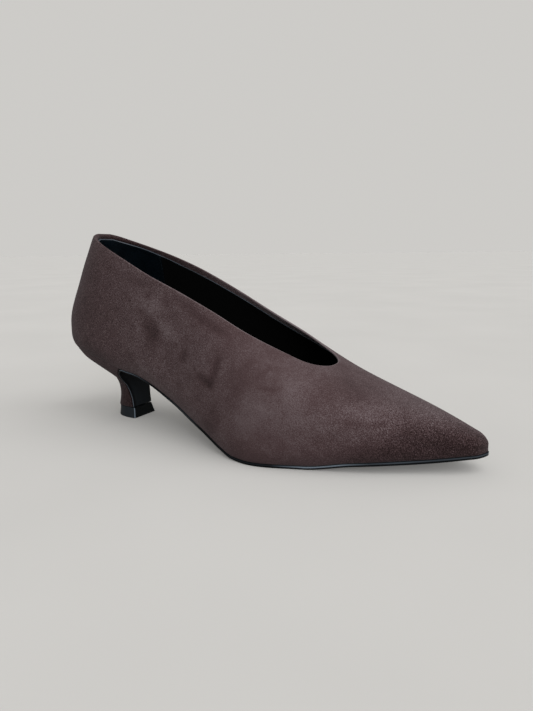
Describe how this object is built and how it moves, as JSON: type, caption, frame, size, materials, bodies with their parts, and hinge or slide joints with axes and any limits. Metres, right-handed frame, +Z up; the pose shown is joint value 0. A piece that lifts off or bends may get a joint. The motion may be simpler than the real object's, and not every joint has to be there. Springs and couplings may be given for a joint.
{
  "type": "pointed toe pump shoe",
  "caption": "Slip-on pump with a pointed toe, a high closed back, a long oval collar and a low curved kitten heel.",
  "frame": {"origin": "on the floor under the middle of the shoe's bounding box", "axes": "+X towards the toe, +Y towards the inner side of the foot, +Z up from the floor"},
  "size_m": [0.262, 0.0848, 0.1167],
  "materials": {
    "upper": "napped dark brown faux suede",
    "insole": "smooth black sock lining",
    "outsole": "satin black sheet",
    "heel": "napped dark brown faux suede over a rigid block",
    "heel_tip": "hard satin black"
  },
  "bodies": {
    "root": {"upper": "upper", "insole": "insole", "outsole": "outsole", "heel": "heel", "heel_tip": "heel_tip"}
  },
  "joints": []
}
